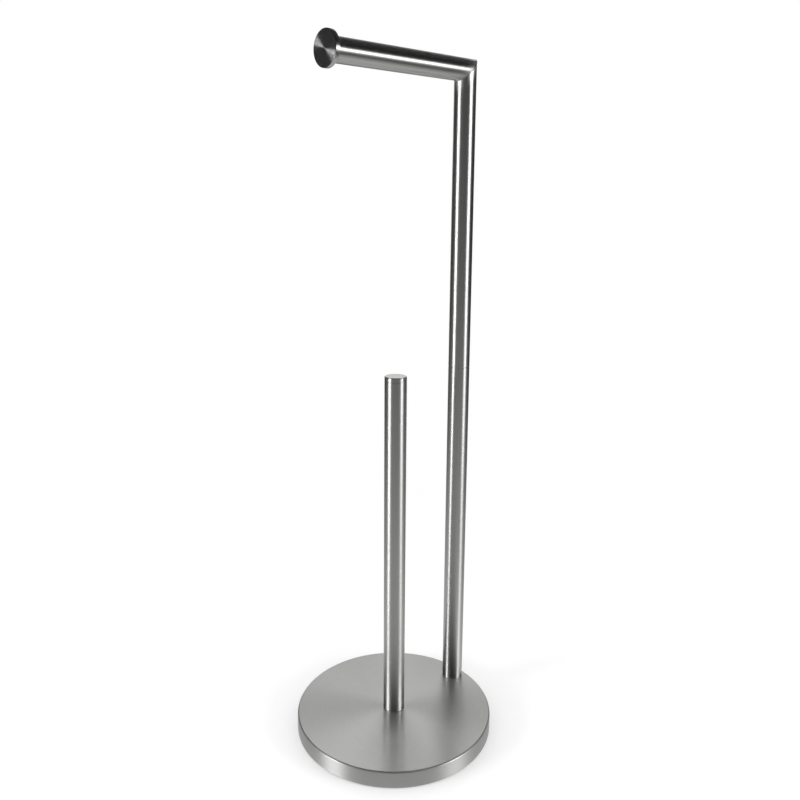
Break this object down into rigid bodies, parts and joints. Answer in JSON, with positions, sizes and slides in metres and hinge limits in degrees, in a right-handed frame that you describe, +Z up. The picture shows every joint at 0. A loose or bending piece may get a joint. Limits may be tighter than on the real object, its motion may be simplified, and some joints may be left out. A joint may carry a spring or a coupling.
{
  "type": "toilet roll storage holder",
  "caption": "Free-standing toilet roll holder in brushed steel: a weighted round base carries a tall pole with a capped arm for the roll in use and a shorter post for spare rolls.",
  "frame": {"origin": "centre of the round base, on the floor it stands on", "axes": "+Z up, +X from the storage post towards the tall pole, so the arm points along -X"},
  "size_m": [0.176, 0.176, 0.5943],
  "materials": {
    "brushed_steel_tube": "satin, brushed round the tube",
    "satin_steel_cover": "satin, brushed in circles",
    "turned_steel_cap": "fine turned rings",
    "plain_steel_plug": "as machined",
    "plated_fastener": "bright plated",
    "cast_weight": "rough casting, painted black",
    "pad_rubber": "matt foam rubber"
  },
  "bodies": {
    "root": {"base_cover": "satin_steel_cover", "base_weight": "cast_weight", "base_pad": "pad_rubber", "lower_pole_tube": "brushed_steel_tube", "lower_pole_joint_plug": "plain_steel_plug", "pole_joint_stud": "plated_fastener", "upper_pole_joint_plug": "plain_steel_plug", "upper_pole_tube": "brushed_steel_tube", "arm_tube": "brushed_steel_tube", "arm_end_cap": "turned_steel_cap", "post_tube": "brushed_steel_tube", "post_top_cap": "turned_steel_cap", "pole_foot_plug": "plain_steel_plug", "pole_bolt": "plated_fastener", "pole_flat_washer": "plated_fastener", "pole_spring_washer": "plated_fastener", "post_foot_plug": "plain_steel_plug", "post_bolt": "plated_fastener", "post_flat_washer": "plated_fastener", "post_spring_washer": "plated_fastener"}
  },
  "joints": []
}
